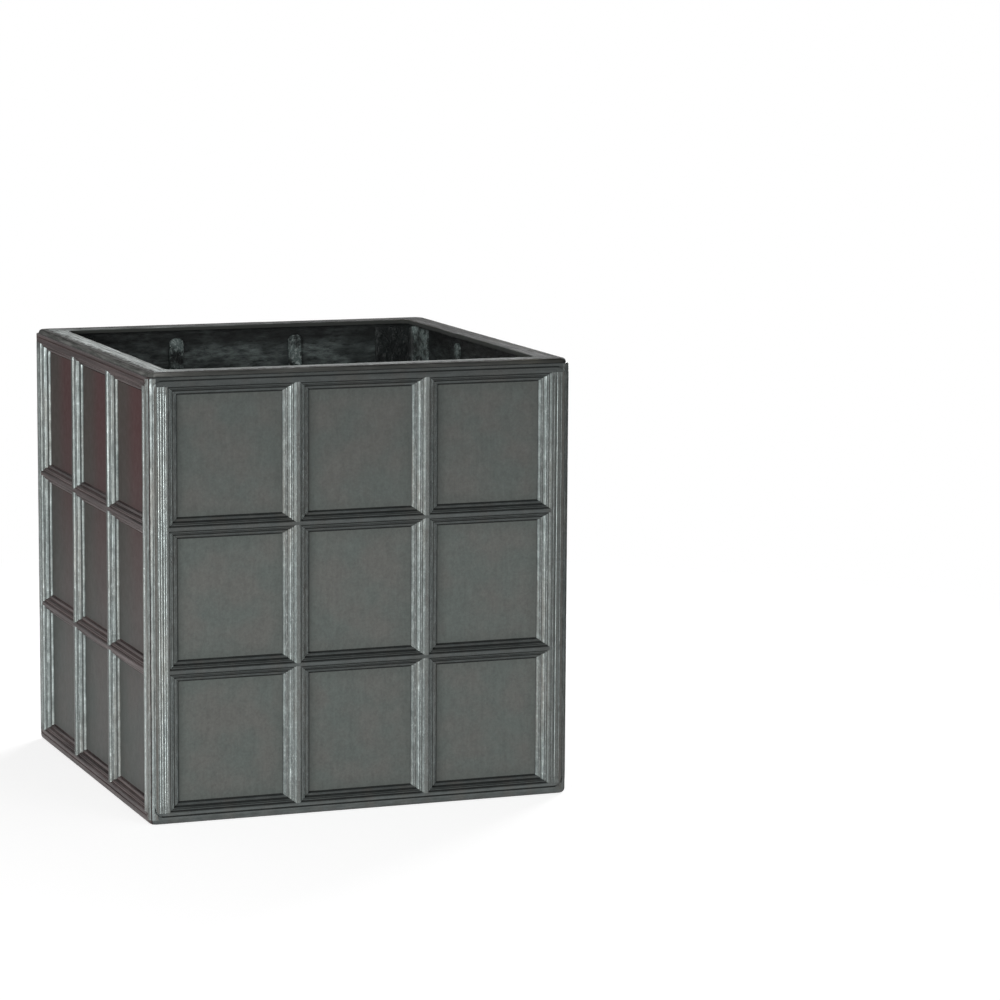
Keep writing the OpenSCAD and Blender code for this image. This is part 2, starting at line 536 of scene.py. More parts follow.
def paneCells(low, high):
    # the panes with their slopes, from ridge to ridge
    wide = high.x - low.x - 2 * wall["stile"] - (wall["columns"] - 1) * wall["ridgeWide"]
    tall = high.z - wall["rail"] - wall["topRail"] - (wall["rows"] - 1) * wall["ridgeHigh"]
    wide, tall = wide / wall["columns"], tall / wall["rows"]
    across = [low.x + wall["stile"] + n * (wide + wall["ridgeWide"]) for n in range(wall["columns"])]
    upward = [wall["rail"] + n * (tall + wall["ridgeHigh"]) for n in range(wall["rows"])]
    return [(x, x + wide) for x in across], [(z, z + tall) for z in upward]


def within(value, ranges):
    return any(a < value < b for a, b in ranges)


def sinkPanes(piece, columns, rows):
    # cuts the panes into the face and steps them down; the work is done on a taller block,
    # which is squashed afterwards, because the level mouldings are narrower than the upright ones
    squash = wall["levelSlope"] / wall["sideSlope"]
    piece.scale.z = 1 / squash
    applyPlace(piece)
    margin = 1.5 * wall["sideSlope"]
    startEdit(piece)
    for a, b in columns:
        sliceAcross(0, [a] + steps(a + margin, b - margin, wall["meshPitch"]) + [b])
    tallRows = [(a / squash, b / squash) for a, b in rows]
    for a, b in tallRows:
        sliceAcross(2, [a] + steps(a + margin, b - margin, wall["meshPitch"]) + [b])

    def isPane(face):
        middle = face.calc_center_median()
        return face.normal.y < -0.9 and within(middle.x, columns) and within(middle.z, tallRows)

    pick("FACE", isPane)
    doneIn, doneDown = 0, 0
    for goIn, goDown in wall["section"]:
        bpy.ops.mesh.inset(thickness=(goIn - doneIn) * mm, depth=-(goDown - doneDown) * mm)
        doneIn, doneDown = goIn, goDown
    endEdit()
    piece.scale.z = squash
    applyPlace(piece)


def roundEdges(piece, low, high):
    # the upright edges, the edge at the ground and the thin edge under the rim
    back = low.y + wall["thick"]

    def isCorner(edge):
        atEnds = all(abs(abs(v.co.x) - high.x) < touching for v in edge.verts)
        return atEnds and all(abs(v.co.y - low.y) < touching for v in edge.verts)

    def outerEdgeAt(edge, height):
        level = all(abs(v.co.z - height) < touching for v in edge.verts)
        atBack = all(abs(v.co.y - back) < touching for v in edge.verts)
        return level and not atBack and any(abs(f.normal.z) < 0.5 for f in edge.link_faces)

    startEdit(piece)
    pick("EDGE", isCorner)
    bevel(wall["cornerRadius"], 8)
    pick("EDGE", lambda e: outerEdgeAt(e, 0))
    bevel(wall["footRadius"], 6)
    pick("EDGE", lambda e: outerEdgeAt(e, high.z))
    bevel(wall["topEdge"], 2)
    mitre(low, high)
    endEdit()


def cutReeds(piece, low, high):
    # upright grooves in the stiles, each a line of points pushed in between two others
    bottom, top = wall["rail"], high.z - wall["topRail"]
    startEdit(piece)
    for side, reeds in ((-1, wall["leftReeds"]), (1, wall["rightReeds"])):
        def onStile(face):
            middle = face.calc_center_median()
            return side * middle.x > high.x - wall["stile"] and face.normal.y < -0.3

        def across(distance):
            return side * (high.x - distance * mm)

        for place in steps(bottom, top, wall["meshPitch"]):
            pick("FACE", onStile)
            bpy.ops.mesh.bisect(plane_co=(0, 0, place), plane_no=(0, 0, 1))
        for distance, half, _ in reeds:
            for shift in (-half, 0, half):
                pick("FACE", onStile)
                bpy.ops.mesh.bisect(plane_co=(across(distance + shift), 0, 0), plane_no=(1, 0, 0))
        for distance, _, depth in reeds:
            line = Vector((across(distance), low.y))
            pick("VERT", lambda v: (v.co.xy - line).length < touching
                 and bottom + touching < v.co.z < top - touching)
            bpy.ops.transform.translate(value=(0, depth * mm, 0))
    endEdit()


def faceDepth(x, low, high):
    # outer surface of the wall, which curves back at its ends
    radius = wall["cornerRadius"]
    reach = abs(x) - (high.x - radius)
    return low.y if reach <= 0 else low.y + radius - math.sqrt(max(0, radius ** 2 - reach ** 2))


def cutFrameGroove(piece, low, high, top):
    # a round tube bent along the groove is taken out of the face
    groove = wall["frameGroove"]
    clearSelection()
    bpy.ops.mesh.primitive_plane_add(size=1, location=(0, low.y, top / 2), rotation=(math.pi / 2, 0, 0))
    ring = bpy.context.object
    ring.scale = (high.x - low.x - 2 * groove["side"], top - 2 * groove["level"], 1)
    applyPlace(ring)
    startEdit(ring)
    selectAll()
    bevel(groove["radius"], 8, "VERTICES")
    selectAll()
    bpy.ops.mesh.delete(type="ONLY_FACE")
    selectAll()
    bpy.ops.mesh.subdivide(number_cuts=3)
    endEdit()
    for vertex in ring.data.vertices:
        vertex.co.y = faceDepth(vertex.co.x, low, high) + groove["sink"]
    bpy.ops.object.convert(target="CURVE")
    ring.data.bevel_depth = groove["thick"]
    ring.data.bevel_resolution = 1
    bpy.ops.object.convert(target="MESH")
    startEdit(ring)
    selectAll()
    bpy.ops.mesh.normals_make_consistent(inside=False)
    endEdit()
    carve(piece, ring)


def chamferSeam(piece):
    def onSeam(edge):
        flush = all(abs(abs(v.co.x) - abs(v.co.y)) < touching for v in edge.verts)
        return flush and len(edge.link_faces) == 2 and any(
            abs(f.normal.x) + abs(f.normal.y) > 0.9 and abs(abs(f.normal.x) - abs(f.normal.y)) > 0.1
            for f in edge.link_faces)

    startEdit(piece)
    pick("EDGE", onSeam)
    bevel(wall["seamChamfer"], 1)
    endEdit()


def mouldWall():
    low, high = wallBox()
    columns, rows = paneCells(low, high)
    piece = block("wallMaster", (low.x, low.y, 0), (high.x, low.y + wall["thick"], high.z))
    sinkPanes(piece, columns, rows)
    print("panes sunk")
    roundEdges(piece, low, high)
    cutReeds(piece, low, high)
    cutFrameGroove(piece, low, high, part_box("rim_frame")[1].z)
    chamferSeam(piece)
    print("wall moulded,", len(piece.data.polygons), "faces")
    return piece, columns, rows


wallMaster, paneColumns, paneRows = mouldWall()


def runsStraight(edge):
    # true along a moulding, false on the diagonal where two of them meet
    way = edge.verts[0].co - edge.verts[1].co
    return min(abs(way.x), abs(way.z)) < 0.15 * way.length


def cellAt(x, z, columns, rows):
    # the pane with its slopes that holds a place on the wall, if one does
    for a, b in columns:
        for c, d in rows:
            if a <= x <= b and c <= z <= d:
                return a, b, c, d
    return None


def paintVertices(shape, high, columns, rows):
    # crowns and grooves, and how far in and across a pane each vertex lies
    crown = shape.verts.layers.float.new("crown")
    inward = shape.verts.layers.float.new("paneInward")
    paneX = shape.verts.layers.float.new("paneAcross")
    for vertex in shape.verts:
        edges = [e for e in vertex.link_edges if len(e.link_faces) == 2 and runsStraight(e)]
        strongest = sorted((e.calc_face_angle_signed(0) for e in edges), key=abs)[-2:]
        bend = sum(strongest) / max(1, len(strongest))
        vertex[crown] = max(-1, min(1, bend / wall["fullBend"]))
        x, z = vertex.co.x, vertex.co.z
        if high.x - abs(x) < wall["cornerRadius"]:
            fromSeam = abs(abs(x) - abs(vertex.co.y))
            vertex[crown] = wall["seamDirt"] if fromSeam < 3 * wall["seamChamfer"] else 0
        cell = cellAt(x, z, columns, rows)
        if cell:
            a, b, c, d = cell
            fromSide = min(x - a, b - x) - wall["sideSlope"]
            fromLevel = min(z - c, d - z) - wall["levelSlope"]
            vertex[inward] = max(0, min(fromSide, fromLevel))
            vertex[paneX] = (x - a) / (b - a)


def paintFaces(shape, low, high, columns, rows):
    # the way the grain runs, how squarely a face looks out, and the panes
    upright = shape.faces.layers.float.new("upright")
    facing = shape.faces.layers.float.new("facing")
    pane = shape.faces.layers.float.new("pane")
    for face in shape.faces:
        middle = face.calc_center_median()
        x, z = middle.x, middle.z
        if all(abs(abs(v.co.x) - abs(v.co.y)) < 1.6 * wall["seamChamfer"] for v in face.verts):
            face[upright] = wall["seamTone"]
            continue
        fromEnd = high.x - abs(x)
        stile = fromEnd < wall["stile"] and wall["rail"] < z < high.z - wall["topRail"]
        corner = fromEnd < wall["cornerRadius"] and wall["footRadius"] < z < high.z - wall["cornerStop"]
        standing = stile or corner or (not within(x, columns) and within(z, rows))
        cell = cellAt(x, z, columns, rows)
        if cell:
            a, b, c, d = cell
            fromSide = min(x - a, b - x) / wall["sideSlope"]
            fromLevel = min(z - c, d - z) / wall["levelSlope"]
            standing = fromSide < fromLevel
            if min(fromSide, fromLevel) > 1 and middle.y > low.y + 0.95 * wall["relief"]:
                face[pane] = 1
        # the rounded corner takes a lower value, painted shade that damps its highlight
        face[upright] = wall["cornerTone"] if corner else standing
        face[facing] = abs(face.normal.y)


def paintMarks(piece, columns, rows):
    # writes on the mesh what the finish follows
    low, high = wallBox()
    shape = bmesh.new()
    shape.from_mesh(piece.data)
    paintVertices(shape, high, columns, rows)
    paintFaces(shape, low, high, columns, rows)
    shape.to_mesh(piece.data)
    shape.free()


paintMarks(wallMaster, paneColumns, paneRows)
wallLow, wallHigh = wallBox()
# the face is held still at its back, foot, top and mitres
weigh(wallMaster, "loose", lambda co: min(
    (wallLow.y + wall["thick"] - 0.5 * mm - co.y) / (2 * mm),
    co.z / (4 * mm),
    (wallHigh.z - 0.5 * mm - co.z) / (2 * mm),
    (abs(co.y) - abs(co.x) - 0.1 * mm) / (7 * mm),
))

lead = {
    "paneCool": tone(83, 89, 86),
    "paneWarm": tone(88, 89, 86),
    "paneWash": tone(77, 82, 79),
    "washReach": 14 * mm,        # how far the wash comes in from the mouldings
    "brushing": (330.0, 60.0, 45.0),
    "dark": tone(74, 79, 78),
    "bright": tone(106, 112, 111),
    "warm": tone(105, 100, 94),
    "warmPatches": (60.0, 20.0, 9.0),
    "rubbed": tone(132, 140, 139),
    "fleck": tone(186, 194, 193),
    "dirt": tone(30, 33, 32),
    # shades multiply the colour, and less than 1 darkens; ranges are places in metres
    "topPaintedShade": 0.8,             # painted shade: the panes darker near the rim
    "topRange": (0.2, 0.38),
    "treadShade": 0.52,          # the level mouldings' flats
    "riserPaintedShade": 0.25,          # and their slopes, painted shade as they face up and down
    "railRimShadow": 0.7,            # the rails under the rim, painted shadow of the rim
    "railRange": (0.385, 0.397),
    "footShade": 1.3,            # the rails at the ground
    "footRange": (0.009, 0.013),
    "slopePaintedLight": 2.1,           # painted light: the uprights are lightest on their slopes
    # painted shade on the uprights' flats that face straight out
    "ridgePaintedShade": 0.82,
    "nearPaintedLight": 1.18,           # and painted lighter at the front left corner, nearest the lamp
    "nearRange": (-0.385, -0.374),   # of X + Y
    "farPaintedShade": 0.72,            # and painted darker at the front right one
    "farRange": (0.372, 0.382),      # of X - Y
    "endHighlight": 0.22,            # painted highlight: their upper ends are nearly white
    "endRange": (0.384, 0.394),
    "specular": 0.3,
    "bump": 0.25 * mm,
}

# painted reflection and shade on the left wall: a brownish red tint standing in for a warm reflection, and
# darker panes and uprights
leftWallLight = {
    "amount": 0.9,
    "railAmount": 0.85,          # how much of it lies on the level mouldings
    "paneShade": 0.56,           # painted shade: the left wall's panes are darker
    "pane": tone(63, 36, 37),
    "paneEdge": tone(54, 46, 43),
    "rail": tone(45, 33, 33),
    "railScratch": tone(88, 74, 73),
    # painted light on the near stile
    "nearStileShade": 1.15,
    "uprightShade": 0.72,        # painted shade: the uprights past the near stile are darker, as this wall takes more of the lamp
    "stileRange": (-0.184, -0.174),
    "heightRange": (0.08, 0.34),     # the panes' painted reflection grows over this height
    "acrossRange": (0.25, 0.6),      # and over this share of their width
    "specular": 0.12,
}


def paneColours(tree, place, turned, blotch, scuff, paneShade):
    # cool and warm patches, a paler middle, and fine scuffing, with painted shade towards the rim and on
    # the left wall's panes
    inward = span(tree, painted(tree, "paneInward"), 0.0, lead["washReach"], soft=True)
    colour = blend(tree, blotch["Blotch"], lead["paneCool"], lead["paneWarm"])
    colour = blend(tree, span(tree, inward, 0, 1, 0.6, 0.0), colour, lead["paneWash"])
    mottled = span(tree, blotch["Mottle"], 0, 1, -0.07, 0.07)
    scuffed = span(tree, scuff, 0.3, 0.7, 0.88, 1.12)
    brushed = noise(tree, stretch(tree, turned, *lead["brushing"]), 1.0, 3.0, 0.6)
    shade = math2(tree, "ADD", mottled, scuffed)
    shade = math2(tree, "ADD", shade, span(tree, brushed, 0.3, 0.7, -0.06, 0.06))
    # painted shade: darker towards the rim
    height = axesOf(tree, place)["Z"]
    upShade = span(tree, height, *lead["topRange"], paneShade, paneShade * lead["topPaintedShade"], soft=True)
    return shaded(tree, colour, times(tree, shade, upShade))


def mouldToneAndPaintedLight(tree, axes, upright, facing, paintedLeftWall):
    # how light the mouldings are, by the way a face looks and by its place: mostly painted light and shade,
    # with the level flats a darker finish
    # painted shadow of the rim on the rails just under it
    rimShadowOnRails = span(tree, axes["Z"], *lead["railRange"], 1.0, lead["railRimShadow"])
    atFoot = span(tree, axes["Z"], *lead["footRange"], lead["footShade"], 1.0)
    # painted shade on the level mouldings' slopes, which face up and down; their flats are a darker finish
    levelShade = span(tree, facing, 0.4, 0.9, lead["riserPaintedShade"], lead["treadShade"])
    levelShade = times(tree, levelShade, rimShadowOnRails, atFoot)
    # painted light towards the front left corner and painted shade at the front right one
    toRear = math2(tree, "ADD", axes["X"], axes["Y"])
    nearCornerLight = span(tree, toRear, *lead["nearRange"], lead["nearPaintedLight"], 1.0)
    toFront = math2(tree, "SUBTRACT", axes["X"], axes["Y"])
    farCornerShade = span(tree, toFront, *lead["farRange"], 1.0, lead["farPaintedShade"])
    # painted light on the uprights' slopes and painted shade on their flats
    uprightShade = span(tree, facing, 0.6, 1.0, lead["slopePaintedLight"], lead["ridgePaintedShade"])
    uprightShade = times(tree, uprightShade, nearCornerLight, farCornerShade)
    # painted shade: on the left wall, which takes the most light, the uprights past the near stile are kept
    # darker
    if paintedLeftWall:
        shades = leftWallLight["nearStileShade"], leftWallLight["uprightShade"]
        pastStileShade = span(tree, axes["Y"], *leftWallLight["stileRange"], *shades)
        uprightShade = times(tree, uprightShade, pastStileShade)
    return blendValue(tree, upright, levelShade, uprightShade)


def mouldColours(tree, place, turned, upright, grain, wear, paintedLeftWall):
    axes = axesOf(tree, place)
    facing = painted(tree, "facing")
    plain = blend(tree, blendValue(tree, 0.5, grain["Grain"], grain["Patch"]), lead["dark"], lead["bright"])
    warmPatch = noise(tree, stretch(tree, turned, *lead["warmPatches"]), 1.0, 2.0, 0.5)
    # the flats are warmer than the slopes
    flat = times(tree, upright, span(tree, facing, 0.93, 0.99, 0.0, 0.6))
    warmth = math2(tree, "MAXIMUM", span(tree, warmPatch, 0.45, 0.7, 0.0, 0.45), flat)
    plain = blend(tree, warmth, plain, lead["warm"])
    patchy = span(tree, grain["Patch"], 0, 1, 0.4, 0.7)
    rubbed = times(tree, wear["Rubbed"], patchy, span(tree, upright, 0, 1, 0.25, 0.8))
    colour = blend(tree, rubbed, plain, lead["rubbed"])
    flecks = times(tree, grain["Fleck"], span(tree, wear["Rubbed"], 0, 1, 0.1, 0.24))
    colour = blend(tree, times(tree, flecks, span(tree, upright, 0, 1, 0.3, 1.0)), colour, lead["fleck"])
    # painted highlight: the uprights' upper ends lightened nearly to white with the fleck colour
    paintedEndHighlight = span(tree, axes["Z"], *lead["endRange"], 0.0, lead["endHighlight"])
    paintedEndHighlight = times(tree, paintedEndHighlight, upright, span(tree, grain["Patch"], 0.3, 0.6))
    colour = blend(tree, paintedEndHighlight, colour, lead["fleck"])
    # the mouldings' painted light and shade
    colour = shaded(tree, colour, mouldToneAndPaintedLight(tree, axes, upright, facing, paintedLeftWall))
    dirt = times(tree, wear["Dirt"], span(tree, upright, 0, 1, 0.95, 0.3))
    return blend(tree, dirt, colour, lead["dirt"])


def warmReflectionOver(tree, place, upright, pane, grain, colour):
    # the painted warm reflection covers the level mouldings; on the panes it is strongest high up, away
    # from their left edges
    across = span(tree, painted(tree, "paneAcross"), *leftWallLight["acrossRange"], soft=True)
    onPane = blend(tree, across, leftWallLight["paneEdge"], leftWallLight["pane"])
    onRail = blend(tree, span(tree, grain["Grain"], 0.2, 0.9), leftWallLight["rail"], leftWallLight["railScratch"])
    high = span(tree, axesOf(tree, place)["Z"], *leftWallLight["heightRange"], 0.1, 1.0)
    level = times(tree, math2(tree, "SUBTRACT", 1.0, upright), leftWallLight["railAmount"])
    amount = times(tree, blendValue(tree, pane, level, high), leftWallLight["amount"])
    return blend(tree, amount, colour, blend(tree, pane, onRail, onPane))


def leadFinish(name, turn, shift, paintedLeftWall):
    material, tree, shader = newMaterial(name, leftWallLight["specular"] if paintedLeftWall else lead["specular"])
    place = ownPlace(tree)
    # brings each wall into the front wall's place, then shifts the pattern
    turned = {"Vector": place, "Rotation": (0, 0, -turn), "Location": shift}
    turned = put(tree, "Mapping", turned).outputs[0]
    upright, pane = painted(tree, "upright"), painted(tree, "pane")
    grain = useGroup(tree, longGrain, {"Vector": turned, "Upright": upright})
    crown = painted(tree, "crown")
    wear = useGroup(tree, edgeWear, {"Crown": crown, "Grain": grain["Patch"], "Break": 0.6})
    blotch = useGroup(tree, handBlotches, {"Vector": turned, "Size": 26.0})
    scuff = noise(tree, turned, 430.0, 3.0, 0.7)
    # painted shade on the left wall's panes
    paneShade = leftWallLight["paneShade"] if paintedLeftWall else 1.0
    moulding = mouldColours(tree, place, turned, upright, grain, wear, paintedLeftWall)
    colour = blend(tree, pane, moulding, paneColours(tree, place, turned, blotch, scuff, paneShade))
    # painted warm reflection over the left wall
    if paintedLeftWall:
        colour = warmReflectionOver(tree, place, upright, pane, grain, colour)
    tree.links.new(colour, shader.inputs["Base Color"])

    burnished = blendValue(tree, upright, 0.15, span(tree, wear["Rubbed"], 0, 1, 0.55, 0.8))
    tree.links.new(blendValue(tree, pane, burnished, 0.1), shader.inputs["Metallic"])
    mouldRough = span(tree, grain["Grain"], 0, 1, 0.5, 0.4)
    paneRough = span(tree, blotch["Mottle"], 0, 1, 0.46, 0.54)
    rough = blendValue(tree, pane, mouldRough, paneRough)
    tree.links.new(blendValue(tree, wear["Dirt"], rough, 0.75), shader.inputs["Roughness"])

    mouldHeight = math2(tree, "ADD", times(tree, grain["Grain"], 0.6), grain["Fleck"])
    paneHeight = math2(tree, "ADD", times(tree, blotch["Mottle"], 0.3), times(tree, scuff, 0.5))
    bump(tree, shader, blendValue(tree, pane, mouldHeight, paneHeight), 0.5, lead["bump"])
    return material


handWave = lumps("handWave", 0.035)
handDent = lumps("handDent", 0.011)
quarterTurns = {"front": 0, "right": math.pi / 2, "rear": math.pi, "left": -math.pi / 2}
patternShifts = {
    "front": (0, 0, 0), "right": (3.1, 0.4, 1.7), "rear": (5.3, 2.2, 0.9), "left": (1.4, 4.7, 2.6),
}
for side, turn in quarterTurns.items():
    face = copyTurned(wallMaster, side + "WallFace", turn)
    displace(face, handWave, wall["wave"], 1.0, "loose")
    displace(face, handDent, wall["dent"], 1.0, "loose")
    smooth(face, 24)
    finish = leadFinish(side + "Lead", turn, patternShifts[side], side == "left")
    dress(face, [side + "_wall"], finish)
bpy.data.objects.remove(wallMaster)
print("walls finished")


# rim

rim = {
    "corner": 8 * mm,
    "lip": 1.2 * mm,             # rounding of the inner edge
    "shoulder": 3 * mm,          # rounding of the outer top edge
    "cuts": 56,
    "rings": 5,
    "waver": 1.6 * mm,           # of the inner edge
    "wave": 0.5 * mm,
    "dent": 0.25 * mm,
    "band": 26 * mm,             # from the walls' outside to the opening
    "pale": tone(232, 238, 236),
    "paleStreak": tone(140, 146, 144),
    "brown": tone(40, 40, 38),
    "brownStreak": tone(104, 104, 101),
    "beige": tone(104, 99, 86),
    # colour of the duller upright sides, and painted shade on the opening's inner side
    "under": tone(58, 60, 58),
    "paleRange": (0.012, 0.017), # from the opening
    "leftPaintedLight": 1.4,            # painted light: lightest on the left length, nearest the lamp
    "leftRange": (-0.19, -0.16),
    "middleShade": 0.7,
    "rightPaintedShade": 0.2,           # painted shade: darkest on the right, as a share of the middle's
    "rightRange": (0.16, 0.18),
    # painted shade on the rear length
    "rearPaintedShade": 0.75,
    "rearRange": (0.165, 0.18),
    "specular": 0.12,
    "bump": 0.25 * mm,
}


def roundedOutline(half, radius, height):
    # a square of edges with round corners, cut finely along its sides
    clearSelection()
    bpy.ops.mesh.primitive_plane_add(size=2 * half, location=(0, 0, height))
    outline = bpy.context.object
    applyPlace(outline)
    startEdit(outline)
    selectAll()
    bevel(radius, 6, "VERTICES")
    selectAll()
    bpy.ops.mesh.delete(type="ONLY_FACE")
    pick("EDGE", lambda e: e.calc_length() > half)
    bpy.ops.mesh.subdivide(number_cuts=rim["cuts"])
    endEdit()
    return outline


def makeRim():
    low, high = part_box("rim_frame")
    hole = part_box("rear_wall")[1].y - rim["band"]
    outer = roundedOutline(high.x, rim["corner"], high.z)
    inner = roundedOutline(hole, rim["corner"], high.z)
    clearSelection()
    outer.select_set(True)
    inner.select_set(True)
    bpy.context.view_layer.objects.active = outer
    bpy.ops.object.join()
    piece = outer
    piece.name = piece.data.name = "rimFrame"
    startEdit(piece)
    selectAll()
    bpy.ops.mesh.bridge_edge_loops(number_cuts=rim["rings"], interpolation="LINEAR")
    selectAll()
    bpy.ops.mesh.extrude_region_move(TRANSFORM_OT_translate={"value": (0, 0, low.z - high.z)})
    selectAll()
    bpy.ops.mesh.normals_make_consistent(inside=False)
    reach = high.x - 0.5 * rim["shoulder"]

    def topEdge(edge, outside):
        if not all(abs(v.co.z - high.z) < touching for v in edge.verts):
            return False
        rimmed = any(abs(f.normal.z) < 0.5 for f in edge.link_faces)
        far = max(abs(v.co.x) for v in edge.verts) > reach or max(abs(v.co.y) for v in edge.verts) > reach
        return rimmed and far == outside

    pick("EDGE", lambda e: topEdge(e, True))
    bevel(rim["shoulder"], 5)
    pick("EDGE", lambda e: topEdge(e, False))
    bevel(rim["lip"], 3)
    endEdit()
    weigh(piece, "loose", lambda co: (co.z - low.z) / (3 * mm))
    weigh(piece, "inner", lambda co: 1 - (max(abs(co.x), abs(co.y)) - hole) / (8 * mm))
    displace(piece, handWave, rim["waver"], 0.5, "inner", "X")
    displace(piece, handWave, -rim["waver"], 0.5, "inner", "Y")
    displace(piece, handWave, rim["wave"], 1.0, "loose")
    displace(piece, handDent, rim["dent"], 1.0, "loose")
    smooth(piece, 55)
    return piece


def rimFinish():
    material, tree, shader = newMaterial("rimLead", rim["specular"])
    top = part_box("rim_frame")[1].z
    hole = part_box("rear_wall")[1].y - rim["band"]
    place = ownPlace(tree)
    axes = axesOf(tree, place)
    farX = math2(tree, "ABSOLUTE", axes["X"])
    farY = math2(tree, "ABSOLUTE", axes["Y"])
    # 1 on the left and right lengths of the frame, where the brushing runs front to rear
    sideways = span(tree, math2(tree, "SUBTRACT", farX, farY), -0.004, 0.004)
    alongX = stretch(tree, place, 18.0, 480.0, 100.0)
    alongY = stretch(tree, place, 480.0, 18.0, 100.0)
    streak = noise(tree, blendPlace(tree, sideways, alongX, alongY), 1.0, 5.0, 0.68)
    streak = span(tree, streak, 0.38, 0.64)
    blotch = useGroup(tree, handBlotches, {"Vector": place, "Size": 34.0})
    # rubbed pale along the opening; the band fades from the front left corner to the rear right as painted
    # light
    fromHole = math2(tree, "SUBTRACT", math2(tree, "MAXIMUM", farX, farY), hole)
    ragged = math2(tree, "ADD", fromHole, span(tree, blotch["Mottle"], 0, 1, -0.004, 0.004))
    corner = math2(tree, "ADD", axes["X"], axes["Y"])
    corner = math2(tree, "ADD", corner, span(tree, blotch["Blotch"], 0, 1, -0.08, 0.08))
    paleBand = span(tree, ragged, *rim["paleRange"], 1.0, 0.0, soft=True)
    paleBand = times(tree, paleBand, span(tree, corner, -0.1, 0.3, 1.0, 0.1, soft=True))
    brown = blend(tree, streak, rim["brown"], rim["brownStreak"])
    beigeSide = times(tree, span(tree, axes["X"], 0.13, 0.18), blotch["Blotch"])
    brown = blend(tree, beigeSide, brown, rim["beige"])
    colour = blend(tree, paleBand, brown, blend(tree, streak, rim["paleStreak"], rim["pale"]))
    # painted light on the left length and painted shade on the right and rear ones
    leftPaintedLight = span(tree, axes["X"], *rim["leftRange"], rim["leftPaintedLight"], rim["middleShade"])
    rightPaintedShade = span(tree, axes["X"], *rim["rightRange"], 1.0, rim["rightPaintedShade"])
    rearPaintedShade = span(tree, axes["Y"], *rim["rearRange"], 1.0, rim["rearPaintedShade"])
    colour = shaded(tree, colour, times(tree, leftPaintedLight, rightPaintedShade, rearPaintedShade))
    # the upright sides are duller, and painted shade darkens the inner side at the opening
    side = span(tree, axes["Z"], top - 1.8 * mm, top - 0.6 * mm, 0.85, 0.0, soft=True)
    side = times(tree, side, span(tree, streak, 0, 1, 1.0, 0.6))
    inside = span(tree, axes["Z"], top - 1.3 * mm, top - 0.5 * mm, 1.0, 0.0)
    inside = times(tree, inside, span(tree, fromHole, 0.003, 0.005, 1.0, 0.0))
    colour = blend(tree, math2(tree, "MAXIMUM", side, inside), colour, rim["under"])
    tree.links.new(colour, shader.inputs["Base Color"])
    bare = times(tree, paleBand, span(tree, streak, 0, 1, 0.0, 0.15))
    tree.links.new(bare, shader.inputs["Metallic"])
    tree.links.new(span(tree, streak, 0, 1, 0.85, 0.65), shader.inputs["Roughness"])
    height = math2(tree, "ADD", streak, times(tree, blotch["Mottle"], 0.5))
    bump(tree, shader, height, 0.5, rim["bump"])
    return material


dress(makeRim(), ["rim_frame"], rimFinish())
print("rim finished")


# laminate: the inner skins and the floor panel

laminate = {
    "skin": 2 * mm,
    "pitch": 7 * mm,
    "rough": 0.9 * mm,
    "black": tone(30, 34, 34),
    "grey": tone(112, 122, 120),
    "fibre": tone(130, 142, 139),
    "drain": 25 * mm,
    "drainEdge": 0.8 * mm,
    "topPaintedShade": 0.25,            # painted shadow: the skins are blackest under the rim
    "topRange": (0.376, 0.391),
    "specular": 0.4,
    "bump": 0.7 * mm,
}


def laminateFinish(name, across, up, shade):
    # resin-wet glass mat, brushed out level on the walls
    material, tree, shader = newMaterial(name, laminate["specular"])
    place = ownPlace(tree)
    drawn = stretch(tree, place, across, across, up)
    stroke = span(tree, noise(tree, drawn, 1.0, 5.0, 0.65), 0.34, 0.68)
    patch = noise(tree, stretch(tree, drawn, 0.35, 0.35, 0.2), 1.0, 3.0, 0.6)
    patch = span(tree, patch, 0.36, 0.6, soft=True)
    fibre = span(tree, noise(tree, drawn, 3.1, 6.0, 0.75), 0.58, 0.72)
    colour = blend(tree, times(tree, stroke, 0.7), laminate["black"], laminate["grey"])
    colour = blend(tree, times(tree, patch, 0.65), colour, laminate["black"])
    # pale fibres, partly the glass's own colour and partly painted glints
    glint = times(tree, fibre, span(tree, patch, 0, 1, 0.7, 0.15))
    colour = blend(tree, glint, colour, laminate["fibre"])
    # painted shadow under the rim; shade scales the whole skin as painted light and shade
    height = axesOf(tree, place)["Z"]
    upShade = span(tree, height, *laminate["topRange"], shade, laminate["topPaintedShade"] * shade, soft=True)
    tree.links.new(shaded(tree, colour, upShade), shader.inputs["Base Color"])
    tree.links.new(span(tree, stroke, 0, 1, 0.62, 0.42), shader.inputs["Roughness"])
    bump(tree, shader, math2(tree, "ADD", stroke, times(tree, fibre, 0.6)), 0.6, laminate["bump"])
    return material


layUp = lumps("layUp", 0.016, 3)
matFibre = lumps("matFibre", 0.004, 3)


def makeSkins(finish, shadedSideFinish):
    low, high = wallBox()
    outside = low.y + wall["thick"]
    inside = outside + laminate["skin"]
    master = block("skinMaster", (low.x, outside, 0), (high.x, inside, high.z))
    startEdit(master)
    sliceEvenly(0, low.x, high.x, laminate["pitch"])
    sliceEvenly(2, 0, high.z, laminate["pitch"])
    mitre(low, high)
    endEdit()

    def looseness(co):
        if co.y < inside - 0.1 * mm:
            return 0
        return min((-inside - abs(co.x)) / (8 * mm), (high.z - co.z) / (6 * mm), co.z / (6 * mm))

    weigh(master, "loose", looseness)
    for side, turn in quarterTurns.items():
        skin = copyTurned(master, side + "Laminate", turn)
        displace(skin, layUp, laminate["rough"], 0.5, "loose")
        smooth(skin, 40)
        dress(skin, [], finish if side in ("front", "rear") else shadedSideFinish)
    bpy.data.objects.remove(master)


